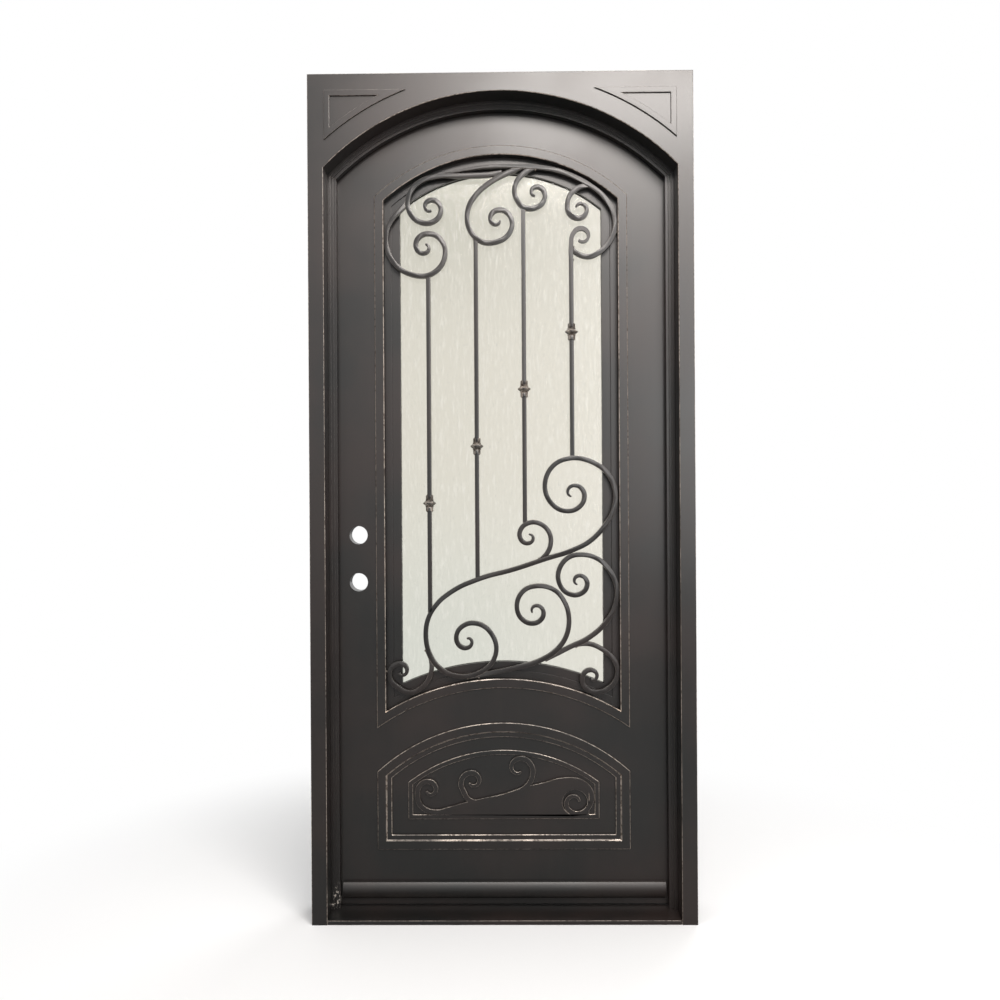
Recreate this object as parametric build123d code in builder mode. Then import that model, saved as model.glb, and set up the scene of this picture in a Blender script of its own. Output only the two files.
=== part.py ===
from build123d import *
import os
from math import cos, degrees, asin, radians, sin, sqrt, tan

os.makedirs("parts", exist_ok=True)

# A wrought iron entry door: an eyebrow-topped leaf in a square steel frame.
# Sizes are in millimetres. X runs to the right as seen from the street, Y runs into the
# house and Z runs up. The origin is on the floor line, in the middle of the sill.

# Steel frame
frame_width = 1105
frame_height = 2440
frame_depth = 152
jamb_width = 45
crown_height = 53
arch_rise = 215
frame_edge_radius = 2
sill_height = 15
sill_fall = 2

# Door stop, a stepped bar inside the frame
stop_width = 24
stop_depth = 29
stop_setback = 66
stop_step_width = 8
stop_step_depth = 4

# Triangular mouldings over the arch
corner_moulding_margin = 48
corner_moulding_gap = 53.8
corner_moulding_width = 17
corner_moulding_height = 5

# Leaf
leaf_thickness = 50
leaf_side_gap = 5
leaf_head_gap = 7
leaf_floor_gap = 5
leaf_stop_gap = 5
lock_edge_bevel = 3
stile_width = 155.5
top_rail_width = 141.3

# Lock bores
bore_diameter = 54
bore_backset = 76
handle_bore_height = 974
bore_spacing = 139.7

# Arched light
light_foot = 591
light_foot_rise = 96
light_rise = 133.7
surround_width = 27
surround_height = 7
surround_bevel = 2

# Ledge, sash and glass behind the scrollwork
flange_width = 21
flange_thickness = 4
flange_setback = 20
sash_gap = 2
sash_face_width = 46
sash_lip = 9
glass_thickness = 12
glass_bite = 9
bead_thickness = 5

# Kick panel
kick_foot = 182
kick_spring = 413
kick_rise = 144
kick_band_width = 27
kick_step_width = 16
kick_step_height = 3.5
kick_panel_recess = 4
kick_bead_side_margin = 91
kick_bead_foot_margin = 88
kick_bead_crown_margin = 82
kick_bead_rise = 95
kick_bead_width = 14
kick_bead_height = 5
kick_bar_width = 15
kick_bar_tip = 7
kick_bar_height = 10

# Drip rail
drip_foot = 38
drip_height = 50
drip_projection = 20
drip_top_depth = 12
drip_foot_depth = 6
drip_nose_height = 27.5
drip_end_gap = 7

# Scrollwork and pickets
scroll_width = 14
scroll_depth = 14
scroll_setback = 2
scroll_tip_width = 6
picket_width = 13
collar_radius = 19
collar_neck_radius = 9
collar_ring_radius = 11
collar_ring_height = 10
collar_neck_length = 3.7
collar_cone_height = 7.8
collar_belly_height = 2.8

# Butt hinges
hinge_count = 3
hinge_height = 127
hinge_plate_thickness = 2.2
hinge_plate_setback = 6
hinge_plate_to_barrel = 1
hinge_pin_radius = 4
hinge_barrel_radius = 7
hinge_pin_clearance = 0.3
hinge_knuckles = 5
hinge_knuckle_gap = 0.4
hinge_axis_offset = 12
hinge_foot_margin = 255
hinge_head_margin = 182

# Sash hardware on the house side
sash_hardware_count = 3
sash_hardware_foot_margin = 169
sash_hardware_head_margin = 115
sash_hinge_length = 60
sash_hinge_plate = 18
sash_hinge_radius = 4
latch_width = 24
latch_length = 60
latch_thickness = 3
latch_knob_radius = 8
latch_knob_height = 20

# Places that follow from the sizes
street_face = -frame_depth / 2
house_face = frame_depth / 2
half_frame = frame_width / 2
half_reveal = half_frame - jamb_width
arch_crown = frame_height - crown_height
arch_spring = arch_crown - arch_rise
arch_radius = (half_reveal**2 + arch_rise**2) / (2 * arch_rise)
arch_centre = arch_crown - arch_radius
stop_front = street_face + stop_setback
stop_back = stop_front + stop_depth
leaf_front = stop_back + leaf_stop_gap
leaf_back = leaf_front + leaf_thickness
leaf_half = half_reveal - leaf_side_gap
leaf_foot = sill_height + leaf_floor_gap
leaf_radius = arch_radius - leaf_head_gap
light_half_width = leaf_half - stile_width
light_crown = arch_crown - leaf_head_gap - top_rail_width
light_spring = light_crown - light_rise
kick_half_width = light_half_width + kick_band_width
kick_bead_half_width = kick_half_width - kick_bead_side_margin
kick_bead_foot = kick_foot + kick_bead_foot_margin
kick_bead_crown = kick_spring + kick_rise - kick_bead_crown_margin
kick_bead_spring = kick_bead_crown - kick_bead_rise
kick_panel_front = leaf_front + kick_panel_recess
flange_front = leaf_front + flange_setback
sash_front = flange_front + flange_thickness
glass_front = sash_front + sash_lip
glass_back = glass_front + glass_thickness
scroll_front = leaf_front + scroll_setback
scroll_middle = scroll_front + scroll_depth / 2


def facing(depth):
    """Drawing plane seen from the street, with X to the right and Z up."""
    return Plane.XZ.offset(-depth)


def save(piece, label):
    piece.part.label = label
    export_step(piece.part, f"parts/{label}.step")


def arc_radius(half_width, rise):
    return (half_width**2 + rise**2) / (2 * rise)


def arched_outline(half_width, foot, spring, rise, foot_rise=0, inset=0, mode=Mode.ADD):
    """Draws an opening with an arched head, and an arched foot where it has one."""
    half = half_width - inset
    head_radius = arc_radius(half_width, rise)
    head_centre = spring + rise - head_radius
    shoulder = head_centre + sqrt((head_radius - inset) ** 2 - half**2)
    crown = head_centre + head_radius - inset
    heel = foot + inset
    if foot_rise:
        foot_radius = arc_radius(half_width, foot_rise)
        foot_centre = foot + foot_rise - foot_radius
        heel = foot_centre + sqrt((foot_radius + inset) ** 2 - half**2)
    with BuildLine() as outline:
        ThreePointArc((-half, shoulder), (0, crown), (half, shoulder))
        Line((half, shoulder), (half, heel))
        if foot_rise:
            ThreePointArc((half, heel), (0, foot_centre + foot_radius + inset), (-half, heel))
        else:
            Line((half, heel), (-half, heel))
        Line((-half, heel), (-half, shoulder))
    make_face(outline.edges(), mode=mode)


def light_outline(inset=0, mode=Mode.ADD):
    arched_outline(
        light_half_width, light_foot, light_spring, light_rise, light_foot_rise, inset, mode
    )


def kick_outline(inset=0, mode=Mode.ADD):
    arched_outline(kick_half_width, kick_foot, kick_spring, kick_rise, 0, inset, mode)


def kick_bead_outline(inset=0, mode=Mode.ADD):
    arched_outline(
        kick_bead_half_width, kick_bead_foot, kick_bead_spring, kick_bead_rise, 0, inset, mode
    )


def rectangle(low_x, low_z, high_x, high_z, mode=Mode.ADD):
    with Locations(((low_x + high_x) / 2, (low_z + high_z) / 2)):
        Rectangle(high_x - low_x, high_z - low_z, mode=mode)


# Frame: two jambs, a head cut to the arch, and a sill that falls to the street.
for side, label in ((-1, "left_jamb"), (1, "right_jamb")):
    with BuildPart() as jamb:
        with BuildSketch():
            with Locations((side * (half_reveal + jamb_width / 2), 0)):
                Rectangle(jamb_width, frame_depth)
        extrude(amount=arch_spring)
        street_edges = jamb.edges().filter_by(Axis.Z).group_by(Axis.Y)[0]
        fillet(street_edges, radius=frame_edge_radius)
    save(jamb, label)

with BuildPart() as arched_head:
    with BuildSketch(facing(street_face)):
        rectangle(-half_frame, arch_spring, half_frame, frame_height)
        with Locations((0, arch_centre)):
            Circle(arch_radius, mode=Mode.SUBTRACT)
    extrude(amount=-frame_depth)
    street_edges = arched_head.faces().sort_by(Axis.Y)[0].edges()
    edges_over_jambs = street_edges.group_by(Axis.Z)[0]
    fillet(street_edges - edges_over_jambs, radius=frame_edge_radius)
save(arched_head, "arched_head")

with BuildPart() as sill:
    with BuildSketch(Plane.YZ):
        with BuildLine():
            Polyline(
                (street_face, 0),
                (house_face, 0),
                (house_face, sill_height),
                (stop_front, sill_height),
                (street_face, sill_height - sill_fall),
                close=True,
            )
        make_face()
    extrude(amount=half_reveal, both=True)
save(sill, "sill")

# Stops: a bar with two small steps on its street side, mitred where it meets the arch.
stop_inner_radius = arch_radius - stop_width
stop_half = half_reveal - stop_width
stop_shoulder = arch_centre + sqrt(stop_inner_radius**2 - stop_half**2)
stop_mitre = Vector(stop_width, 0, arch_spring - stop_shoulder)
stop_steps = (
    (0, stop_step_depth * 2),
    (stop_step_width, stop_step_depth * 2),
    (stop_step_width, stop_step_depth),
    (stop_step_width * 2, stop_step_depth),
    (stop_step_width * 2, 0),
    (stop_width, 0),
    (stop_width, stop_depth),
    (0, stop_depth),
)


def mitre_plane(side):
    """Cut between the arch stop and a side stop, with the arch on its upper side."""
    normal = Vector(-side * stop_mitre.Z, 0, stop_mitre.X)
    return Plane(origin=(side * half_reveal, 0, arch_spring), z_dir=normal)


for side, label in ((-1, "left_stop"), (1, "right_stop")):
    with BuildPart() as stop:
        with BuildSketch(Plane.XY.offset(sill_height)):
            with BuildLine():
                Polyline(
                    *[(side * (stop_half + x), stop_front + y) for x, y in stop_steps],
                    close=True,
                )
            make_face()
        extrude(amount=arch_spring - sill_height)
        split(bisect_by=mitre_plane(side), keep=Keep.BOTTOM)
    save(stop, label)

with BuildPart() as arch_stop:
    half_angle = degrees(asin(half_reveal / arch_radius))
    start = Plane(
        origin=(0, 0, arch_centre),
        x_dir=(sin(radians(half_angle)), 0, cos(radians(half_angle))),
        z_dir=(-cos(radians(half_angle)), 0, sin(radians(half_angle))),
    )
    with BuildSketch(start):
        with BuildLine():
            Polyline(
                *[(stop_inner_radius + x, stop_front + y) for x, y in stop_steps],
                close=True,
            )
        make_face()
    revolve(
        axis=Axis((0, 0, arch_centre), (0, -1, 0)),
        revolution_arc=2 * half_angle,
    )
    split(bisect_by=mitre_plane(1), keep=Keep.TOP)
    split(bisect_by=mitre_plane(-1), keep=Keep.TOP)
save(arch_stop, "arch_stop")

# Triangular mouldings that fill the corners over the arch.
moulding_top = frame_height - corner_moulding_margin
moulding_half = half_frame - corner_moulding_margin
moulding_radius = arch_radius + corner_moulding_gap


def corner_triangle(inset, mode=Mode.ADD):
    """Right-hand corner over the arch, moved inwards from all three of its sides."""
    radius = moulding_radius + inset
    top = moulding_top - inset
    outer = moulding_half - inset
    inner = sqrt(radius**2 - (top - arch_centre) ** 2)
    lower = arch_centre + sqrt(radius**2 - outer**2)
    middle = Vector(inner + outer, top + lower - 2 * arch_centre).normalized() * radius
    with BuildLine() as outline:
        Line((inner, top), (outer, top))
        Line((outer, top), (outer, lower))
        ThreePointArc((outer, lower), (middle.X, arch_centre + middle.Y), (inner, top))
    make_face(outline.edges(), mode=mode)


with BuildPart() as corner_mouldings:
    with BuildSketch(facing(street_face)):
        corner_triangle(0)
        corner_triangle(corner_moulding_width, mode=Mode.SUBTRACT)
    extrude(amount=corner_moulding_height)
    mirror(about=Plane.YZ)
save(corner_mouldings, "corner_mouldings")

# Leaf: box-section stiles and rails, with the lock stile's edge bevelled so that it clears.
bore_x = -(leaf_half - bore_backset)
bore_heights = (handle_bore_height, handle_bore_height + bore_spacing)

with BuildPart() as lock_stile:
    with BuildSketch(Plane.XY.offset(leaf_foot)):
        with BuildLine():
            Polyline(
                (-light_half_width, leaf_front),
                (-light_half_width, leaf_back),
                (-leaf_half, leaf_back),
                (-leaf_half + leaf_thickness * tan(radians(lock_edge_bevel)), leaf_front),
                close=True,
            )
        make_face()
    extrude(amount=light_spring - leaf_foot)
    with BuildSketch(facing(leaf_front)):
        with Locations(*[(bore_x, height) for height in bore_heights]):
            Circle(bore_diameter / 2)
    extrude(amount=-leaf_thickness, mode=Mode.SUBTRACT)
save(lock_stile, "lock_stile")

with BuildPart() as hinge_stile:
    with BuildSketch(facing(leaf_front)):
        rectangle(light_half_width, leaf_foot, leaf_half, light_spring)
    extrude(amount=-leaf_thickness)
save(hinge_stile, "hinge_stile")

with BuildPart() as top_rail:
    with BuildSketch(facing(leaf_front)):
        rectangle(-leaf_half, light_spring, leaf_half, frame_height)
        with Locations((0, arch_centre)):
            Circle(leaf_radius, mode=Mode.INTERSECT)
        light_outline(mode=Mode.SUBTRACT)
    extrude(amount=-leaf_thickness)
save(top_rail, "top_rail")

with BuildPart() as middle_rail:
    with BuildSketch(facing(leaf_front)):
        rectangle(-light_half_width, kick_spring, light_half_width, light_foot + light_foot_rise)
        kick_outline(inset=kick_band_width, mode=Mode.SUBTRACT)
        light_outline(mode=Mode.SUBTRACT)
    extrude(amount=-leaf_thickness)
save(middle_rail, "middle_rail")

with BuildPart() as bottom_rail:
    with BuildSketch(facing(leaf_front)):
        rectangle(-light_half_width, leaf_foot, light_half_width, kick_foot + kick_band_width)
    extrude(amount=-leaf_thickness)
save(bottom_rail, "bottom_rail")

with BuildPart() as kick_panel:
    with BuildSketch(facing(kick_panel_front)):
        kick_outline(inset=kick_band_width)
    extrude(amount=-(leaf_thickness - 2 * kick_panel_recess))
save(kick_panel, "kick_panel")

# Raised band round the light, welded to the stiles and rails.
with BuildPart() as light_surround:
    with BuildSketch(facing(leaf_front)):
        light_outline(inset=-surround_width)
        light_outline(mode=Mode.SUBTRACT)
    extrude(amount=surround_height)
    chamfer(light_surround.faces().sort_by(Axis.Y)[0].edges(), length=surround_bevel)
save(light_surround, "light_surround")

# Kick panel mouldings: a raised band with a lower inner step, on both sides of the leaf.
street_panel_plane = facing(kick_panel_front)
house_panel_plane = Plane((0, leaf_back - kick_panel_recess, 0), x_dir=(-1, 0, 0), z_dir=(0, 1, 0))
with BuildPart() as kick_mouldings:
    for plane in (street_panel_plane, house_panel_plane):
        with BuildSketch(plane.offset(kick_panel_recess)):
            kick_outline()
            kick_outline(inset=kick_band_width, mode=Mode.SUBTRACT)
        extrude(amount=surround_height)
        with BuildSketch(plane):
            kick_outline(inset=kick_band_width)
            kick_outline(inset=kick_band_width + kick_step_width, mode=Mode.SUBTRACT)
        extrude(amount=kick_panel_recess + kick_step_height)
save(kick_mouldings, "kick_mouldings")

with BuildPart() as kick_bead:
    with BuildSketch(facing(kick_panel_front)):
        kick_bead_outline()
        kick_bead_outline(inset=kick_bead_width, mode=Mode.SUBTRACT)
    extrude(amount=kick_bead_height)
save(kick_bead, "kick_bead")

# Drip rail: a flat ledge that rounds down to the leaf, between the stops.
drip_top = drip_foot + drip_height
with BuildPart() as drip_rail:
    with BuildSketch(Plane.YZ):
        with BuildLine():
            Line((leaf_front, drip_foot), (leaf_front, drip_top))
            Line((leaf_front, drip_top), (leaf_front - drip_top_depth, drip_top))
            ThreePointArc(
                (leaf_front - drip_top_depth, drip_top),
                (leaf_front - drip_projection, drip_foot + drip_nose_height),
                (leaf_front - drip_foot_depth, drip_foot),
            )
            Line((leaf_front - drip_foot_depth, drip_foot), (leaf_front, drip_foot))
        make_face()
    extrude(amount=stop_half - drip_end_gap, both=True)
save(drip_rail, "drip_rail")

# Ledge that closes the light behind the scrollwork, and the sash that shuts against it.
with BuildPart() as light_flange:
    with BuildSketch(facing(flange_front)):
        light_outline()
        light_outline(inset=flange_width, mode=Mode.SUBTRACT)
    extrude(amount=-flange_thickness)
save(light_flange, "light_flange")

glass_inset = sash_face_width - glass_bite
with BuildPart() as sash_frame:
    with BuildSketch(facing(sash_front)):
        light_outline(inset=sash_gap)
        light_outline(inset=sash_face_width, mode=Mode.SUBTRACT)
    extrude(amount=-sash_lip)
    with BuildSketch(facing(glass_front)):
        light_outline(inset=sash_gap)
        light_outline(inset=glass_inset, mode=Mode.SUBTRACT)
    extrude(amount=-(leaf_back - glass_front))
save(sash_frame, "sash_frame")

with BuildPart() as glass_pane:
    with BuildSketch(facing(glass_front)):
        light_outline(inset=glass_inset)
    extrude(amount=-glass_thickness)
save(glass_pane, "glass_pane")

with BuildPart() as glazing_bead:
    with BuildSketch(facing(glass_back)):
        light_outline(inset=glass_inset)
        light_outline(inset=sash_face_width, mode=Mode.SUBTRACT)
    extrude(amount=-bead_thickness)
save(glazing_bead, "glazing_bead")

# Sash hinges on the right and turn latches on the left, over the joint of sash and leaf.
sash_joint = light_half_width - sash_gap / 2
lowest_hardware = light_foot + sash_hardware_foot_margin
highest_hardware = light_spring - sash_hardware_head_margin
hardware_spacing = (highest_hardware - lowest_hardware) / (sash_hardware_count - 1)
sash_hardware_heights = [
    lowest_hardware + number * hardware_spacing for number in range(sash_hardware_count)
]
with BuildPart() as sash_hinges:
    for height in sash_hardware_heights:
        with BuildSketch(facing(leaf_back)):
            with Locations((sash_joint, height)):
                Rectangle(2 * sash_hinge_plate, sash_hinge_length)
        extrude(amount=-hinge_plate_thickness)
        with BuildSketch(Plane.XY.offset(height - sash_hinge_length / 2)):
            with Locations((sash_joint, leaf_back + sash_hinge_radius)):
                Circle(sash_hinge_radius)
        extrude(amount=sash_hinge_length)
save(sash_hinges, "sash_hinges")

with BuildPart() as sash_latches:
    for height in sash_hardware_heights:
        with BuildSketch(facing(leaf_back)):
            with Locations((-sash_joint + latch_width / 2, height)):
                SlotCenterToCenter(latch_length - latch_width, latch_width, rotation=90)
        extrude(amount=-latch_thickness)
        with BuildSketch(facing(leaf_back)):
            with Locations((-sash_joint + latch_width / 2, height)):
                Circle(latch_knob_radius)
        extrude(amount=-latch_knob_height)
save(sash_latches, "sash_latches")

# Scrollwork. Each bar follows one smooth line, drawn for a light of the size below and
# stretched to the present one. Curls are forged spirals whose radius grows by a constant ratio.
drawn_light = (347, 591, 2238.7)
curl_step = 45
tip_taper = 5
straight_limit = 1e-6


def curl(eye, tip_radius, rim_radius, tip_angle, rim_angle):
    """Points of a curl from its tip outwards, about one for each eighth of a turn."""
    steps = round(abs(rim_angle - tip_angle) / curl_step)
    points = []
    for step in range(steps + 1):
        share = step / steps
        radius = tip_radius * (rim_radius / tip_radius) ** share
        angle = radians(tip_angle + (rim_angle - tip_angle) * share)
        points.append((eye[0] + radius * cos(angle), eye[1] + radius * sin(angle)))
    return points


def in_light(points):
    """Moves points from the drawn light to the present one."""
    drawn_half_width, drawn_foot, drawn_crown = drawn_light
    across = light_half_width / drawn_half_width
    up = (light_crown - light_foot) / (drawn_crown - drawn_foot)
    return [(x * across, light_foot + (z - drawn_foot) * up) for x, z in points]


def side_points(points, widths):
    """Both edges of a bar along the points, square to the circle through each three."""
    spots = [Vector(x, z) for x, z in points]
    tangents = []
    for before, here, after in zip(spots, spots[1:], spots[2:]):
        near = here - before
        far = after - here
        tangents.append((near * far.length**2 + far * near.length**2).normalized())
    for end, chord in ((0, spots[1] - spots[0]), (-1, spots[-1] - spots[-2])):
        along = chord.normalized()
        mirrored = along * (2 * along.dot(tangents[end])) - tangents[end]
        tangents.insert(0 if end == 0 else len(tangents), mirrored)
    left = []
    right = []
    for spot, tangent, width in zip(spots, tangents, widths):
        across = Vector(-tangent.Y, tangent.X) * (width / 2)
        left.append(spot + across)
        right.append(spot - across)
    return left, right, tangents


def draw_arcs(spots, tangents):
    """Two arcs from each spot to the next, tangent to each other and to both directions."""
    for start, end, leaving, arriving in zip(spots, spots[1:], tangents, tangents[1:]):
        chord = end - start
        lean = chord.dot(leaving + arriving)
        spread = 2 * (1 - leaving.dot(arriving))
        if spread < straight_limit:
            Line(start, end)
            continue
        reach = (sqrt(lean**2 + spread * chord.dot(chord)) - lean) / spread
        middle = (start + end + (leaving - arriving) * reach) / 2
        TangentArc(start, middle, tangent=leaving)
        TangentArc(end, middle, tangent=-arriving)


def draw_bar(points, width, tip_width, start_taper=0, end_taper=0, mode=Mode.ADD):
    """A bar along the points, drawn out to a rounded tip at each end that has a taper."""
    last = len(points) - 1
    widths = []
    for number in range(last + 1):
        from_start = number / start_taper if start_taper else 1
        from_end = (last - number) / end_taper if end_taper else 1
        widths.append(tip_width + (width - tip_width) * min(1, from_start, from_end))
    left, right, tangents = side_points(points, widths)
    start_tip = Vector(*points[0]) - tangents[0] * (widths[0] / 2)
    end_tip = Vector(*points[-1]) + tangents[-1] * (widths[-1] / 2)
    with BuildLine() as outline:
        draw_arcs(left, tangents)
        draw_arcs(right, tangents)
        if end_taper:
            ThreePointArc(left[-1], end_tip, right[-1])
        else:
            Line(left[-1], right[-1])
        if start_taper:
            ThreePointArc(left[0], start_tip, right[0])
        else:
            Line(left[0], right[0])
    make_face(outline.edges(), mode=mode)


scroll_lines = {
    "crown_scroll": [
        (-185, 2181), (-120, 2194), (-72, 2202), (-24, 2206), (48, 2207), (120, 2202),
        (168, 2193), (215, 2176), (263, 2150), (305, 2116), (330, 2080), (340, 2042),
        (337, 2008), (320, 1975), (295, 1951), (266, 1937), (238, 1941), (211, 1962),
    ],
    "upper_left_scroll": curl((-209, 2087), 10, 65, -80, -537) + [
        (-274, 2114), (-262, 2142), (-235, 2165), (-190, 2178), (-111, 2180), (-29, 2183),
        (5, 2188),
    ],
    "left_side_scroll": curl((-225, 1969), 9, 81, 62, -433) + [
        (-276, 1892), (-311, 1916), (-333, 1951), (-341, 1994), (-333, 2032), (-316, 2060),
        (-292, 2085), (-274, 2104),
    ],
    "centre_left_scroll": curl((-10, 2048), 10, 67, -27, -457) + [
        (-50, 1982), (-75, 1997), (-94, 2025), (-99, 2061), (-92, 2093), (-70, 2126),
        (-24, 2164), (24, 2188), (72, 2206),
    ],
    "centre_right_scroll": curl((104, 2127), 8, 55, -111, -494) + [
        (50, 2107), (42, 2133), (48, 2160), (67, 2183), (103, 2202),
    ],
    "right_shoulder_scroll": curl((236, 2079), 13, 34, 141, -157) + [
        (199, 2092), (208, 2121), (232, 2141), (268, 2147),
    ],
    "long_s_scroll": curl((210, 1235), 11, 90, -124, -567) + [
        (159, 1322), (208, 1339), (261, 1330), (311, 1296), (335, 1246), (332, 1189),
        (305, 1138), (259, 1091), (200, 1062), (131, 1041), (39, 1011), (-68, 982),
        (-140, 951), (-194, 909), (-222, 863), (-229, 815), (-220, 764), (-192, 720),
        (-152, 697),
    ] + curl((-105, 797), 8, 98, 86, -395)[-2::-1],
    "lower_left_curl": curl((-302, 707), 9, 47, -138, 254) + [
        (-274, 645), (-239, 662), (-217, 694), (-212, 731), (-225, 772),
    ],
    "inner_scroll": curl((97, 885), 10, 70, -167, -602) + [
        (108, 960), (156, 946), (186, 908), (197, 858), (186, 805), (152, 763), (109, 738),
        (37, 717), (-40, 702), (-105, 691),
    ],
    "right_side_scroll": curl((225, 972), 9, 71, -124, -586) + [
        (199, 1045), (240, 1052), (287, 1037), (322, 999), (340, 945), (331, 894),
        (300, 843), (250, 802), (201, 779), (155, 756), (124, 741),
    ],
    "lower_right_curl": curl((265, 689), 9, 47, -96, 288) + [
        (312, 655), (333, 678), (340, 708), (330, 739), (298, 769), (257, 787), (216, 784),
    ],
    "small_curl": curl((80, 1105), 8, 54, 77, -320) + [
        (142, 1112), (143, 1080), (124, 1046), (90, 1027),
    ],
}

# Bars that each one is cut back to and welded against.
scroll_welds = {
    "crown_scroll": ["upper_left_scroll", "picket_4"],
    "upper_left_scroll": ["centre_left_scroll"],
    "left_side_scroll": ["upper_left_scroll"],
    "centre_left_scroll": ["crown_scroll"],
    "centre_right_scroll": ["crown_scroll"],
    "right_shoulder_scroll": ["crown_scroll"],
    "long_s_scroll": [],
    "lower_left_curl": ["long_s_scroll"],
    "inner_scroll": ["long_s_scroll"],
    "right_side_scroll": ["long_s_scroll", "inner_scroll"],
    "lower_right_curl": ["right_side_scroll"],
    "small_curl": ["long_s_scroll"],
    "picket_1": ["left_side_scroll", "long_s_scroll"],
    "picket_2": ["centre_left_scroll", "long_s_scroll"],
    "picket_3": ["centre_right_scroll", "small_curl"],
    "picket_4": ["long_s_scroll"],
}

# Each picket has a foot and a head inside the scrolls that it is welded to, and one collar.
picket_lines = {
    "picket_1": [(-215.5, 895), (-215.5, 1207), (-215.5, 1886)],
    "picket_2": [(-73.8, 980), (-73.8, 1376), (-73.8, 1998)],
    "picket_3": [(67.9, 1148), (67.9, 1545), (67.9, 2088)],
    "picket_4": [(209.6, 1341), (209.6, 1714), (209.6, 1850)],
}
curled_end = curl((242, 1997), 15, 28, -122, 167) + [(209.6, 1970), (209.6, 1920), (209.6, 1850)]

bar_outlines = {}
for label, line in scroll_lines.items():
    end_taper = tip_taper if label == "long_s_scroll" else 0
    with BuildSketch() as outline:
        draw_bar(in_light(line), scroll_width, scroll_tip_width, tip_taper, end_taper)
    bar_outlines[label] = outline.sketch

collar_places = {}
for label, line in picket_lines.items():
    low_end, collar, high_end = in_light(line)
    place, collar_middle = collar
    collar_places[label] = collar
    with BuildSketch() as outline:
        rectangle(place - picket_width / 2, low_end[1], place + picket_width / 2, high_end[1])
        if label == "picket_4":
            draw_bar(in_light(curled_end), picket_width, scroll_tip_width, tip_taper)
    bar_outlines[label] = outline.sketch

bar_faces = {}
for label, welded_to in scroll_welds.items():
    with BuildSketch() as outline:
        add(bar_outlines[label])
        light_outline(mode=Mode.INTERSECT)
        for other in welded_to:
            add(bar_outlines[other], mode=Mode.SUBTRACT)
    bar_faces[label] = outline.faces().sort_by(SortBy.AREA)[-1]


def draw_collar(place, height):
    """A cast knuckle on a picket: a wide belly between two rings."""
    belly = collar_belly_height / 2
    neck = belly + collar_cone_height
    ring_low = neck + collar_neck_length
    ring_high = ring_low + collar_ring_height
    with BuildLine() as outline:
        Polyline(
            (place, height - ring_high),
            (place + collar_ring_radius, height - ring_high),
            (place + collar_ring_radius, height - ring_low),
            (place + collar_neck_radius, height - neck),
            (place + collar_radius, height - belly),
            (place + collar_radius, height + belly),
            (place + collar_neck_radius, height + neck),
            (place + collar_ring_radius, height + ring_low),
            (place + collar_ring_radius, height + ring_high),
            (place, height + ring_high),
            close=True,
        )
    make_face(outline.edges())


for label in scroll_lines:
    with BuildPart() as scroll:
        with BuildSketch(facing(scroll_front)):
            add(bar_faces[label])
        extrude(amount=-scroll_depth)
    save(scroll, label)

with BuildPart() as pickets:
    for label, (place, height) in collar_places.items():
        with BuildSketch(facing(scroll_front)):
            add(bar_faces[label])
        extrude(amount=-scroll_depth)
        with BuildSketch(facing(scroll_middle)):
            draw_collar(place, height)
        revolve(axis=Axis((place, scroll_middle, 0), (0, 0, 1)))
save(pickets, "pickets")

# Scrollwork on the kick panel, a plate cut to shape and drawn for a bead of the size below.
# It is whole from the stem down to the bead, with a round clearing behind the right curl.
drawn_bead = (283, 270, 475)


def in_bead(points):
    """Moves points from the drawn bead to the present one."""
    drawn_half_width, drawn_foot, drawn_crown = drawn_bead
    across = kick_bead_half_width / drawn_half_width
    up = (kick_bead_crown - kick_bead_foot) / (drawn_crown - drawn_foot)
    return [(x * across, kick_bead_foot + (z - drawn_foot) * up) for x, z in points]


right_curl_eye = (210, 321)
kick_clearing_radius = 37
plate_top = [
    (-202, 292), (-162, 300), (-112, 314), (-64, 325), (-2, 338), (60, 358), (124, 373),
    (162, 384), (195, 387), (218, 385), (239, 375), (252, 361),
]
kick_stem = (
    curl((-219, 357), 10, 40, -147, 205)
    + [(-249, 316), (-232, 300)]
    + plate_top
    + [(260, 342)]
    + curl(right_curl_eye, 14, 45, 22, 350)[::-1]
)
kick_left_branch = curl((-91, 383), 11, 42, -140, 231) + [(-105, 330), (-88, 322), (-62, 323)]
kick_right_branch = curl((44, 421), 13, 40, -66, -352) + [(86, 403), (79, 382), (66, 366), (50, 356)]
plate_corners = [(plate_top[-1][0], drawn_bead[1]), (plate_top[0][0], drawn_bead[1])]

with BuildPart() as kick_scrollwork:
    with BuildSketch(facing(kick_panel_front)):
        with BuildLine() as plate:
            Polyline(*in_bead(plate_top + plate_corners), close=True)
        make_face(plate.edges())
        with Locations(*in_bead([right_curl_eye])):
            Circle(kick_clearing_radius, mode=Mode.SUBTRACT)
        draw_bar(in_bead(kick_stem), kick_bar_width, kick_bar_tip, tip_taper, tip_taper)
        draw_bar(in_bead(kick_left_branch), kick_bar_width, kick_bar_tip, tip_taper)
        draw_bar(in_bead(kick_right_branch), kick_bar_width, kick_bar_tip, tip_taper)
        kick_bead_outline(inset=kick_bead_width, mode=Mode.INTERSECT)
    extrude(amount=kick_bar_height)
save(kick_scrollwork, "kick_scrollwork")

# Butt hinges in the gap between the hinge stile and the right jamb. The frame half carries
# the pin and the first, third and fifth knuckles, and the leaf half the two between them.
pin_x = (leaf_half + half_reveal) / 2
pin_y = leaf_back + hinge_axis_offset
knuckle_height = hinge_height / hinge_knuckles
lowest_hinge = leaf_foot + hinge_foot_margin
highest_hinge = arch_spring - hinge_head_margin
hinge_spacing = (highest_hinge - lowest_hinge) / (hinge_count - 1)


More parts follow.
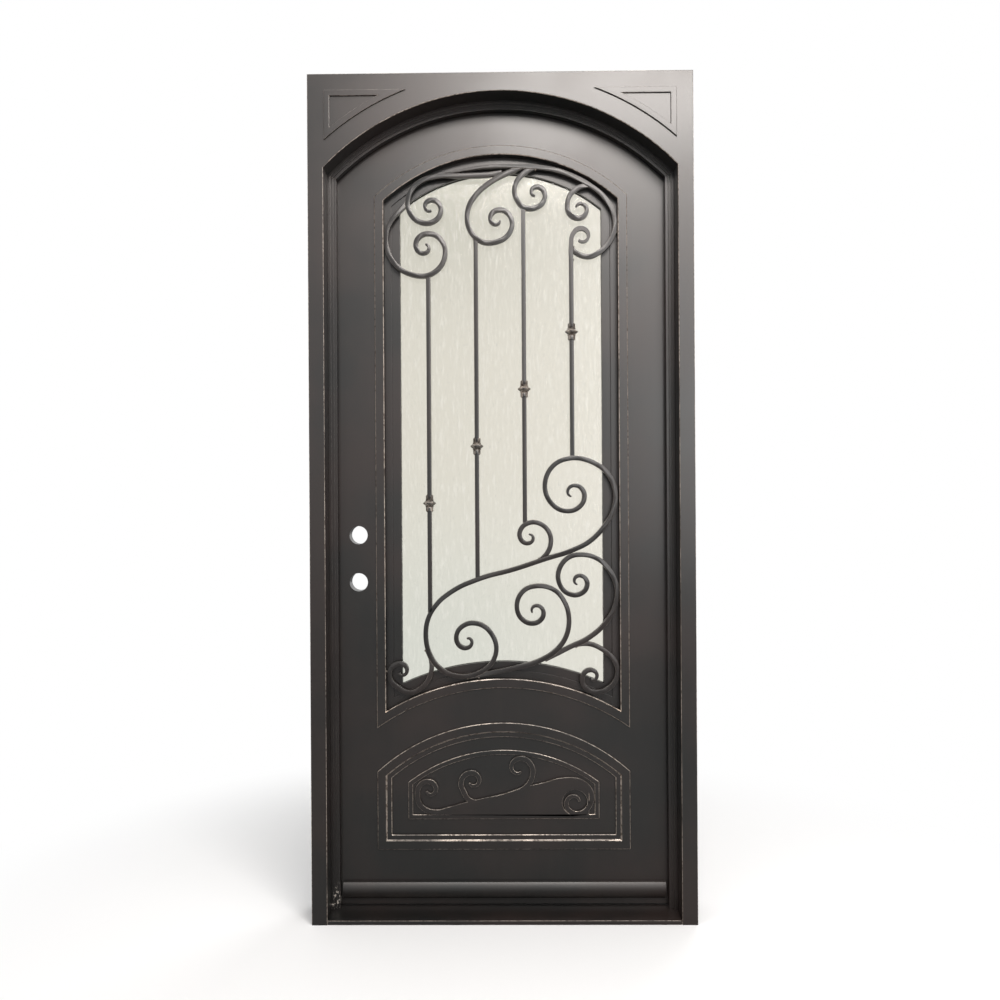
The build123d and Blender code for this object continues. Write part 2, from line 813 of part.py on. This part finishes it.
def hinge_half(foot, plate_face, towards_pin, knuckles, carries_pin):
    """One plate with its knuckles: it carries the pin, or is bored to turn on it."""
    plate_front = leaf_front + hinge_plate_setback
    plate_back = pin_y - hinge_barrel_radius - hinge_plate_to_barrel
    plate_middle = plate_face + towards_pin * hinge_plate_thickness / 2
    with BuildPart() as half:
        with BuildSketch(Plane.XY.offset(foot)):
            with Locations((plate_middle, (plate_front + plate_back) / 2)):
                Rectangle(hinge_plate_thickness, plate_back - plate_front)
        extrude(amount=hinge_height)
        for knuckle in knuckles:
            low = foot + knuckle * knuckle_height + hinge_knuckle_gap / 2
            with BuildSketch(Plane.XY.offset(low)):
                with Locations((plate_middle, (plate_back + pin_y) / 2)):
                    Rectangle(hinge_plate_thickness, pin_y - plate_back)
                with Locations((pin_x, pin_y)):
                    Circle(hinge_barrel_radius)
                    if not carries_pin:
                        Circle(hinge_pin_radius + hinge_pin_clearance, mode=Mode.SUBTRACT)
            extrude(amount=knuckle_height - hinge_knuckle_gap)
        if carries_pin:
            with BuildSketch(Plane.XY.offset(foot)):
                with Locations((pin_x, pin_y)):
                    Circle(hinge_pin_radius)
            extrude(amount=hinge_height)
    return half


for number in range(hinge_count):
    foot = lowest_hinge + number * hinge_spacing - hinge_height / 2
    frame_hinge = hinge_half(foot, half_reveal, -1, (0, 2, 4), carries_pin=True)
    save(frame_hinge, f"frame_hinge_{number + 1}")
    leaf_hinge = hinge_half(foot, leaf_half, 1, (1, 3), carries_pin=False)
    save(leaf_hinge, f"leaf_hinge_{number + 1}")
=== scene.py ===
import bpy
import bmesh
from math import radians
from mathutils import Matrix, Vector


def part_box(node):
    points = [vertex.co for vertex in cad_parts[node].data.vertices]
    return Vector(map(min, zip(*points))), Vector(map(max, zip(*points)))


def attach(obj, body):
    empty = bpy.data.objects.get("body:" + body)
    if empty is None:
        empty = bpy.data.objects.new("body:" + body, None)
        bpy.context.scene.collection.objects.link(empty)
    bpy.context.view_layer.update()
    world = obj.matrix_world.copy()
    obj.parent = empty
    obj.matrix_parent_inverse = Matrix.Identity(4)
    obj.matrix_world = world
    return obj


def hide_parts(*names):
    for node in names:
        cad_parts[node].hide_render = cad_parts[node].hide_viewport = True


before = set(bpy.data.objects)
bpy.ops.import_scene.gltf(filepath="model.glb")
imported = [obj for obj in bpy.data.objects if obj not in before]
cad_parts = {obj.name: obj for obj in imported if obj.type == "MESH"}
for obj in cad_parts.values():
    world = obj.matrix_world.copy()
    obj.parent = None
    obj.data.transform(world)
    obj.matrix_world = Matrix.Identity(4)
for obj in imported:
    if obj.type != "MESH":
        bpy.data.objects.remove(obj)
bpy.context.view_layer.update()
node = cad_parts

# Viewpoint: straight in front of the closed door, at half of its height, with the whole frame
# in view. The camera is rolled and turned by less than a degree, as the photograph's is.
eye = bpy.data.objects.new("viewpoint", bpy.data.cameras.new("viewpoint"))
bpy.context.scene.collection.objects.link(eye)
eye.location = (-0.006, -2.776, 1.216)
eye.rotation_euler = (radians(90), 0.006, 0.0115)
eye.data.shift_x = 0.0109
eye.data.sensor_width = 36
eye.data.lens = 34
bpy.context.scene.camera = eye
bpy.context.scene.view_settings.view_transform = "Standard"


# Studio: a pale floor that fades into a white surround, a large soft lamp in front and above
# that the paint mirrors round the arch, and weaker ones overhead, on the right and behind.
class Wire:
    """What comes out of a node. Arithmetic on it adds Math nodes."""

    def __init__(self, finish, socket):
        self.finish = finish
        self.socket = socket

    def maths(self, operation, *values):
        return self.finish.node("ShaderNodeMath", {"operation": operation}, dict(enumerate(values)))

    def __add__(self, other):
        return self.maths("ADD", self, other)

    def __sub__(self, other):
        return self.maths("SUBTRACT", self, other)

    def __rsub__(self, other):
        return self.maths("SUBTRACT", other, self)

    def __mul__(self, other):
        return self.maths("MULTIPLY", self, other)

    def __abs__(self):
        return self.maths("ABSOLUTE", self)

    def root(self):
        return self.maths("SQRT", self)

    def least(self, other):
        return self.maths("MINIMUM", self, other)

    def most(self, other):
        return self.maths("MAXIMUM", self, other)

    def ramp(self, low, high):
        """0 below low, 1 above high, and smooth between them."""
        return self.finish.node(
            "ShaderNodeMapRange",
            {"interpolation_type": "SMOOTHSTEP"},
            {"Value": self, "From Min": low, "From Max": high},
        )

    __radd__ = __add__
    __rmul__ = __mul__


class Finish:
    """The nodes of a material or of the surround. Places are in metres on the door."""

    def __init__(self, owner, shader):
        owner.use_nodes = True
        self.owner = owner
        self.tree = owner.node_tree
        self.shader = self.tree.nodes[shader]

    def feed(self, target, inputs):
        for key, value in inputs.items():
            if isinstance(value, Wire):
                self.tree.links.new(value.socket, target.inputs[key])
            else:
                target.inputs[key].default_value = value

    def node(self, kind, settings=None, inputs=None, output=0):
        """Adds a node: its settings first, then the values or wires of its inputs."""
        new = self.tree.nodes.new(kind)
        for key, value in (settings or {}).items():
            setattr(new, key, value)
        self.feed(new, inputs or {})
        return Wire(self, new.outputs[output])

    def rays(self, kind):
        return self.node("ShaderNodeLightPath", output=f"Is {kind} Ray")

    def place(self):
        return self.node("ShaderNodeTexCoord", output="Object")

    def split(self, vector):
        return [
            self.node("ShaderNodeSeparateXYZ", inputs={"Vector": vector}, output=axis)
            for axis in "XYZ"
        ]

    def stretched(self, vector, scale):
        return self.node("ShaderNodeVectorMath", {"operation": "MULTIPLY"}, {0: vector, 1: scale})

    def grain(self, vector, scale, detail=2, roughness=0.5):
        """Noise between 0 and 1."""
        return self.node(
            "ShaderNodeTexNoise",
            inputs={"Vector": vector, "Scale": scale, "Detail": detail, "Roughness": roughness},
        )

    def tint(self, share, first, second):
        """From the first colour to the second one as share goes from 0 to 1."""
        return self.node(
            "ShaderNodeMix", {"data_type": "RGBA"}, {0: share, 6: first, 7: second}, output=2
        )

    def bump(self, height, strength, distance):
        return self.node(
            "ShaderNodeBump",
            inputs={"Height": height, "Strength": strength, "Distance": distance},
        )


def new_finish(name, **surface):
    """A material. What is the same all over it is set on the shader's own sockets."""
    finish = Finish(bpy.data.materials.new(name), "Principled BSDF")
    finish.feed(finish.shader, {key.replace("_", " "): value for key, value in surface.items()})
    return finish


def solid_piece(name, shape, material):
    """Makes an object of a finished bmesh, with faces smooth up to its sharper edges."""
    sharp = radians(30)
    mesh = bpy.data.meshes.new(name)
    for face in shape.faces:
        face.smooth = True
    for edge in shape.edges:
        edge.smooth = len(edge.link_faces) == 2 and edge.calc_face_angle() < sharp
    shape.to_mesh(mesh)
    shape.free()
    mesh.materials.append(material)
    piece = bpy.data.objects.new(name, mesh)
    bpy.context.scene.collection.objects.link(piece)
    return piece


white = (1, 1, 1, 1)
pale_floor = (0.93, 0.93, 0.93, 1)
dim_floor = (0.36, 0.36, 0.36, 1)
floor_half = 12
fade_start = 0.5
fade_end = 3.4
floor_finish = new_finish("studio_floor", Roughness=0.8, Specular_IOR_Level=0.1)
floor_x, floor_y, _ = floor_finish.split(floor_finish.place())
far = (floor_x * floor_x + floor_y * floor_y).ramp(fade_start, fade_end)
seen = floor_finish.rays("Camera")
glow = floor_finish.node("ShaderNodeEmission", inputs={"Color": white, "Strength": 1.0})
ground = floor_finish.tint(seen, dim_floor, pale_floor)
floor_finish.feed(floor_finish.shader, {"Base Color": ground})
floor_mix = floor_finish.node(
    "ShaderNodeMixShader",
    inputs={
        0: (far * seen).most(floor_finish.rays("Transmission")),
        1: Wire(floor_finish, floor_finish.shader.outputs[0]),
        2: glow,
    },
)
floor_finish.feed(floor_finish.tree.nodes["Material Output"], {"Surface": floor_mix})
floor_shape = bmesh.new()
bmesh.ops.create_grid(floor_shape, x_segments=1, y_segments=1, size=floor_half)
floor = solid_piece("floor", floor_shape, floor_finish.owner)

daylight = 0.5
surround = Finish(bpy.data.worlds.new("white_surround"), "Background")
bpy.context.scene.world = surround.owner
surround.feed(surround.shader, {"Color": white, "Strength": daylight})
mirrored = surround.rays("Camera").most(surround.rays("Glossy"))
backdrop = surround.node("ShaderNodeBackground", inputs={"Color": white, "Strength": 1.0})
surround_mix = surround.node(
    "ShaderNodeMixShader",
    inputs={
        0: mirrored.most(surround.rays("Transmission")),
        1: Wire(surround, surround.shader.outputs[0]),
        2: backdrop,
    },
)
surround.feed(surround.tree.nodes["World Output"], {"Surface": surround_mix})


def soft_lamp(name, middle, aim, width, height, power, colour=(1, 1, 1)):
    lamp = bpy.data.objects.new(name, bpy.data.lights.new(name, "AREA"))
    lamp.data.shape = "RECTANGLE"
    lamp.data.size = width
    lamp.data.size_y = height
    lamp.data.energy = power
    lamp.data.color = colour
    lamp.location = middle
    lamp.rotation_euler = (Vector(aim) - Vector(middle)).to_track_quat("-Z", "Y").to_euler()
    bpy.context.scene.collection.objects.link(lamp)
    return lamp


soft_lamp(
    "high_lamp", middle=(0.75, -2.9, 3.72), aim=(0, 0, 1.9), width=2.2, height=0.85, power=108,
    colour=(1.0, 0.95, 0.91),
)
soft_lamp(
    "ceiling_lamp", middle=(0, -1.1, 4.3), aim=(0, -0.9, 0), width=2.4, height=0.9, power=40
)
soft_lamp(
    "right_lamp", middle=(1.4, -2.9, 2.0), aim=(0.3, 0, 1.3), width=1.0, height=2.2, power=24
)
back_lamp = soft_lamp(
    "back_lamp", middle=(1.6, 2.9, 3.4), aim=(0, 0, 1.2), width=1.8, height=1.0, power=40
)
back_lamp.visible_transmission = False


# Sill: a folded steel threshold, worn bright along its front edge by feet. Like all the steel
# it is sprayed dark bronze, nearly black, and its edges are rubbed by hand until a coppery
# undercoat shows in broken lines. That lighter edge colour is also a painted highlight, for
# the light that the rounded edges catch; on the sill it is strongest along the front edge.
near_black = (0.006, 0.0065, 0.0062, 1)
warm_black = (0.017, 0.0105, 0.0088, 1)
brushed_black = (0.020, 0.017, 0.014, 1)
dull_copper_glint = (0.30, 0.225, 0.175, 1)
bright_copper_glint = (0.66, 0.57, 0.49, 1)
bare_steel = (0.42, 0.38, 0.34, 1)


def bronze_paint(name, rub_and_highlight=1.0, chips=(), worn_and_lit_depth=None, roughness=0.29):
    """Bronze paint. Chips are places with a reach; the rub and painted edge highlight may end at a
    depth in the frame.
    """
    paint = new_finish(
        name, Specular_IOR_Level=0.7, IOR=1.5, Specular_Tint=(1.0, 0.985, 0.975, 1)
    )
    place = paint.place()
    facing = paint.node("ShaderNodeTexCoord", output="Normal")

    # An edge is where the steel faces neither straight out nor straight along the wall.
    across, out, up = paint.split(facing)
    wall = (across * across + up * up).root()
    edge = wall.least(abs(out)).ramp(0.22, 0.55)
    patches = paint.grain(place, 9, 3).ramp(0.34, 0.62)
    broken = paint.grain(place, 130, 2).ramp(0.3, 0.56)
    # Edge colour: coppery rub wear, and also a painted highlight for the light the edges catch.
    rubbed_and_highlit = edge * (patches * 0.75 + 0.25) * (broken * 0.55 + 0.45) * rub_and_highlight
    # Where a depth is given, the wear and painted edge highlight stay only on the front edge.
    if worn_and_lit_depth is not None:
        depth = paint.split(place)[1]
        rubbed_and_highlit = rubbed_and_highlit * (1 - depth.ramp(worn_and_lit_depth, worn_and_lit_depth + 0.004))

    clouds = paint.grain(place, 3.2, 4).ramp(0.3, 0.72)
    brush = paint.grain(paint.stretched(place, (45, 45, 6)), 1, 2)
    dark = paint.tint(clouds, near_black, warm_black)
    dark = paint.tint(brush.ramp(0.45, 0.8) * 0.15, dark, brushed_black)
    colour = paint.tint(rubbed_and_highlit, dark, paint.tint(broken, dull_copper_glint, bright_copper_glint))
    for x, y, z, reach in chips:
        away = paint.node(
            "ShaderNodeVectorMath", {"operation": "DISTANCE"}, {0: place, 1: (x, y, z)}, "Value"
        )
        near = 1 - away.ramp(reach * 0.3, reach)
        chipped = near * paint.grain(place, 110, 2).ramp(0.55, 0.6)
        colour = paint.tint(chipped, colour, bare_steel)

    orange_peel = paint.grain(place, 420, 2)
    paint.feed(
        paint.shader,
        {
            "Base Color": colour,
            "Metallic": rubbed_and_highlit * 0.55,
            "Roughness": clouds * 0.07 + brush * 0.02 + roughness,
            "Normal": paint.bump(orange_peel, 0.08, 0.0003),
        },
    )
    return paint.owner


def dress(name, material):
    node[name].data.materials.clear()
    node[name].data.materials.append(material)


# Shading of rolled and folded sheet: faces are smooth up to its sharper edges.
rolled = bpy.data.node_groups.new("rolled_sheet", "GeometryNodeTree")
rolled.interface.new_socket("Geometry", in_out="INPUT", socket_type="NodeSocketGeometry")
rolled.interface.new_socket("Geometry", in_out="OUTPUT", socket_type="NodeSocketGeometry")
rolled_in = rolled.nodes.new("NodeGroupInput")
rolled_out = rolled.nodes.new("NodeGroupOutput")
all_smooth = rolled.nodes.new("GeometryNodeSetShadeSmooth")
sharp_stay = rolled.nodes.new("GeometryNodeSetShadeSmooth")
sharp_stay.domain = "EDGE"
sharp_stay.inputs["Shade Smooth"].default_value = False
edge_angle = rolled.nodes.new("GeometryNodeInputMeshEdgeAngle")
is_sharp = rolled.nodes.new("ShaderNodeMath")
is_sharp.operation = "GREATER_THAN"
is_sharp.inputs[1].default_value = radians(32)
for source, target in (
    (edge_angle.outputs["Unsigned Angle"], is_sharp.inputs[0]),
    (rolled_in.outputs[0], all_smooth.inputs["Geometry"]),
    (all_smooth.outputs[0], sharp_stay.inputs["Geometry"]),
    (is_sharp.outputs[0], sharp_stay.inputs["Selection"]),
    (sharp_stay.outputs[0], rolled_out.inputs[0]),
):
    rolled.links.new(source, target)


def soften(name, radius=0.0, segments=2, flatten=True):
    """Merges a CAD piece's triangles and breaks its edges where it has a radius."""
    weld = node[name].modifiers.new("merged", "WELD")
    weld.merge_threshold = 0.00001
    if flatten:
        flat = node[name].modifiers.new("flat_faces", "DECIMATE")
        flat.decimate_type = "DISSOLVE"
        flat.angle_limit = radians(0.5)
    if radius:
        broken_edge = node[name].modifiers.new("broken_edges", "BEVEL")
        broken_edge.width = radius
        broken_edge.segments = segments
        broken_edge.limit_method = "ANGLE"
        broken_edge.angle_limit = radians(34)
        broken_edge.use_clamp_overlap = False
        broken_edge.loop_slide = False
    shading = node[name].modifiers.new("rolled", "NODES")
    shading.node_group = rolled
    level = node[name].modifiers.new("level_faces", "WEIGHTED_NORMAL")
    level.keep_sharp = True
    level.weight = 100


# The sill's bright front edge is wear by feet and a painted highlight along that edge.
worn_and_lit_lip = 0.006
sill_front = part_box("sill")[0].y
dress("sill", bronze_paint("sill_metal", rub_and_highlight=2.2, worn_and_lit_depth=sill_front + worn_and_lit_lip))
soften("sill", radius=0.0025)

# Frame: two jambs and an arched head of folded steel sheet, welded and ground flush at the
# corners so that the face runs through without a joint.
plain_paint = bronze_paint("bronze_paint", rub_and_highlight=0.9)
for name in ("left_jamb", "right_jamb", "arched_head"):
    dress(name, plain_paint)
    soften(name)

# Stops: a stepped steel bar inside the jambs and the arch that the leaf shuts against, with
# the paint knocked off at its left foot.
foot_chips = ((-0.478, -0.010, 0.055, 0.045), (-0.487, -0.004, 0.035, 0.035))
stop_paint = bronze_paint("stop_paint", rub_and_highlight=0.4, chips=foot_chips)
for name in ("left_stop", "right_stop", "arch_stop"):
    dress(name, stop_paint)
    soften(name, radius=0.0008)

# Corner mouldings: triangles of flat bar welded over each side of the arch, rubbed harder
# than the plain faces and given a stronger painted edge highlight.
trim_paint = bronze_paint("trim_paint", rub_and_highlight=1.4)
dress("corner_mouldings", trim_paint)
soften("corner_mouldings", radius=0.0018)

# Leaf: stiles, rails and a kick panel of folded steel sheet over foam, welded flush so that
# the face runs through without a joint.
for name in ("lock_stile", "hinge_stile", "top_rail", "middle_rail", "bottom_rail", "kick_panel"):
    dress(name, plain_paint)
    soften(name)

# Surround of the light: a flat band of bar with a broken edge, welded round the opening and
# mitred at its lower corners.
dress("light_surround", trim_paint)
soften("light_surround")

# Kick panel mouldings: a raised band with a lower inner step, a bead round the panel, and
# scrolls cut from plate, all welded on, rubbed bright along their edges and given a painted
# highlight there.
kick_paint = bronze_paint("kick_paint", rub_and_highlight=1.2)
for name, radius in (("kick_mouldings", 0.0026), ("kick_bead", 0.0022)):
    dress(name, kick_paint)
    soften(name, radius, segments=3)
dress("kick_scrollwork", kick_paint)
soften("kick_scrollwork", radius=0.0012, segments=3, flatten=False)

# Drip rail: a folded ledge with a rounded nose that throws rain clear of the sill. Its paint
# is duller and hardly rubbed, with almost no painted edge highlight.
dress("drip_rail", bronze_paint("drip_paint", rub_and_highlight=0.02, roughness=0.4))
soften("drip_rail", radius=0.0008)

# Ledge and sash: a steel strip behind the scrollwork, and the hinged inner sash of tube that
# holds the glass under a loose bead.
sash_paint = bronze_paint("sash_paint", rub_and_highlight=0.25)
for name in ("light_flange", "sash_frame", "glazing_bead"):
    dress(name, sash_paint)
    soften(name, radius=0.0008)

# Glass: a sealed pane of rain glass, clear, with a pattern of running water rolled into it.
# Its colour is painted light and shade of what is seen through it: paler towards the right
# and a little browner and darker at the top, with painted glints along the runs and painted
# shade in the drops.
low_glass = (0.70, 0.71, 0.64, 1)
middle_glass = (0.72, 0.69, 0.60, 1)
high_glass = (0.60, 0.58, 0.50, 1)
lit_right_glass = (0.84, 0.80, 0.71, 1)
run_glint = (0.90, 0.88, 0.82, 1)
drop_shade = (0.50, 0.50, 0.45, 1)
pane = new_finish("rain_glass", Roughness=0.12, IOR=1.45, Transmission_Weight=1.0)
pane_place = pane.place()
pane_x, _, pane_z = pane.split(pane_place)
run = pane.grain(pane.stretched(pane_place, (120, 40, 26)), 1, 3, 0.6)
drops = pane.grain(pane.stretched(pane_place, (190, 60, 90)), 1, 2)
# Painted light: the pane's colour follows the brightness seen through it, not a tint of its own.
pane_colour = pane.tint(pane_z.ramp(0.7, 1.4), low_glass, middle_glass)
pane_colour = pane.tint(pane_z.ramp(1.6, 2.2), pane_colour, high_glass)
pane_colour = pane.tint(pane_x.ramp(-0.25, 0.4) * 0.6, pane_colour, lit_right_glass)
# Painted glints along the runs and painted shade in the drops of the rolled pattern.
pane_colour = pane.tint(run.ramp(0.5, 0.72) * 0.4, pane_colour, run_glint)
pane_colour = pane.tint(drops.ramp(0.6, 0.75) * 0.3, pane_colour, drop_shade)
pane.feed(
    pane.shader,
    {"Base Color": pane_colour, "Normal": pane.bump(run + drops * 0.5, 0.35, 0.002)},
)
dress("glass_pane", pane.owner)

# Sash hardware: three barrel hinges and three turn latches of oiled dark steel, fixed to the
# house side of the sash and the leaf.
oiled_steel = (0.055, 0.047, 0.042, 1)
worn_steel = (0.16, 0.13, 0.11, 1)
steel = new_finish("hinge_steel", Metallic=0.9, Specular_IOR_Level=0.5)
steel_place = steel.place()
wear = steel.grain(steel_place, 60, 3).ramp(0.35, 0.7)
polish = steel.grain(steel.stretched(steel_place, (900, 900, 60)), 1, 2)
steel.feed(
    steel.shader,
    {
        "Base Color": steel.tint(wear, oiled_steel, worn_steel),
        "Roughness": wear * 0.15 + polish * 0.1 + 0.3,
        "Normal": steel.bump(polish, 0.1, 0.0002),
    },
)
for name in ("sash_hinges", "sash_latches"):
    dress(name, steel.owner)
    soften(name, radius=0.0006)

# Scrollwork and pickets: square bar drawn out to thin tips and curled cold round a jig, with
# cast knuckles, all welded into one grille and dressed with a file.
bars = (
    "crown_scroll", "upper_left_scroll", "left_side_scroll", "centre_left_scroll",
    "centre_right_scroll", "right_shoulder_scroll", "long_s_scroll", "lower_left_curl",
    "inner_scroll", "right_side_scroll", "lower_right_curl", "small_curl", "pickets",
)
filed_radius = 0.0013
filed_angle = radians(40)
picket_edge = 0.030
left_picket_x = -0.2
left_foot_z = 0.9
left_foot_drop = 0.010


def filed_bar(name):
    """A copy of a CAD bar with its triangles merged and its long edges filed round."""
    shape = bmesh.new()
    shape.from_mesh(node[name].data)
    bmesh.ops.remove_doubles(shape, verts=shape.verts, dist=0.000001)
    bmesh.ops.dissolve_limit(
        shape, angle_limit=radians(0.5), verts=shape.verts, edges=shape.edges
    )
    shortest = 0
    if name == "pickets":
        # The knuckles keep their edges, and the left picket's foot runs on into its scroll.
        shortest = picket_edge
        for vert in shape.verts:
            if vert.co.x < left_picket_x and vert.co.z < left_foot_z:
                vert.co.z -= left_foot_drop
    rim = [
        edge for edge in shape.edges
        if edge.is_convex
        and edge.calc_face_angle() > filed_angle
        and edge.calc_length() > shortest
    ]
    bmesh.ops.bevel(
        shape, geom=rim, offset=filed_radius, offset_type="OFFSET", affect="EDGES", segments=2,
        profile=0.5, material=-1, clamp_overlap=False,
    )
    mesh = bpy.data.meshes.new(name + "_filed")
    shape.to_mesh(mesh)
    shape.free()
    copy = bpy.data.objects.new(name + "_filed", mesh)
    bpy.context.scene.collection.objects.link(copy)
    return copy


copies = [filed_bar(name) for name in bars]
for other in copies[1:]:
    joint = copies[0].modifiers.new("joined", "BOOLEAN")
    joint.operation = "UNION"
    joint.solver = "EXACT"
    joint.object = other
joined = bpy.data.meshes.new_from_object(
    copies[0].evaluated_get(bpy.context.evaluated_depsgraph_get())
)
grille = bmesh.new()
grille.from_mesh(joined)
for copy in copies:
    bpy.data.objects.remove(copy)

# Weld beads: where two bars meet, and where the grille touches its surround, a small bead of
# weld fills the corner through the bar's depth.
bead_radius = 0.0034
bead_half_depth = 0.0062
bead_spacing = 0.006
tight_corner = radians(25)
touches = [
    (0.3465, 0.033, 2.009), (0.3435, 0.033, 0.941), (-0.3465, 0.033, 1.990),
    (-0.3460, 0.033, 0.707), (-0.072, 0.033, 0.6885),
]
corners = []
for edge in grille.edges:
    along = (edge.verts[1].co - edge.verts[0].co).normalized()
    if abs(along.y) > 0.99 and edge.is_manifold and not edge.is_convex:
        if edge.calc_face_angle() > tight_corner:
            spot = (edge.verts[0].co + edge.verts[1].co) / 2
            if all((spot - other).length > bead_spacing for other in corners):
                corners.append(spot)
beads = bmesh.new()
bead_size = Matrix.Diagonal((bead_radius, bead_half_depth, bead_radius, 1))
for spot in corners + [Vector(touch) for touch in touches]:
    bmesh.ops.create_icosphere(
        beads, subdivisions=2, radius=1, matrix=Matrix.Translation(spot) @ bead_size
    )
weld_beads = solid_piece("weld_beads", beads, bronze_paint("weld_paint", rub_and_highlight=1.3))
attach(weld_beads, "leaf")

scroll_grille = solid_piece("scroll_grille", grille, bronze_paint("bar_paint", rub_and_highlight=0.8))
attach(scroll_grille, "leaf")
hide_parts(*bars)

# Hinges: three butt hinges of dark steel in the gap between the hinge stile and the jamb,
# each leaf held by four countersunk screws in a zigzag row.
for number in (1, 2, 3):
    for side in ("frame_hinge", "leaf_hinge"):
        dress(f"{side}_{number}", steel.owner)
        soften(f"{side}_{number}")

screw_radius = 0.0042
screw_taper = 0.94
screw_height = 0.00018
screw_rise = 0.0316
first_screw = 0.016
screw_depths = (0.058, 0.040)
for side, body, plate_x, outwards in (
    ("frame_hinge", "frame", 0.5053, -1), ("leaf_hinge", "leaf", 0.5047, 1)
):
    screws = bmesh.new()
    turn = Matrix.Rotation(radians(90) * outwards, 4, "Y")
    for number in (1, 2, 3):
        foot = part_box(f"{side}_{number}")[0].z
        for row in range(4):
            height = foot + first_screw + row * screw_rise
            place = (plate_x + outwards * screw_height / 2, screw_depths[row % 2], height)
            bmesh.ops.create_cone(
                screws, cap_ends=True, segments=20, radius1=screw_radius,
                radius2=screw_radius * screw_taper, depth=screw_height,
                matrix=Matrix.Translation(place) @ turn,
            )
    screw_set = solid_piece(f"{side}_screws", screws, steel.owner)
    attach(screw_set, body)
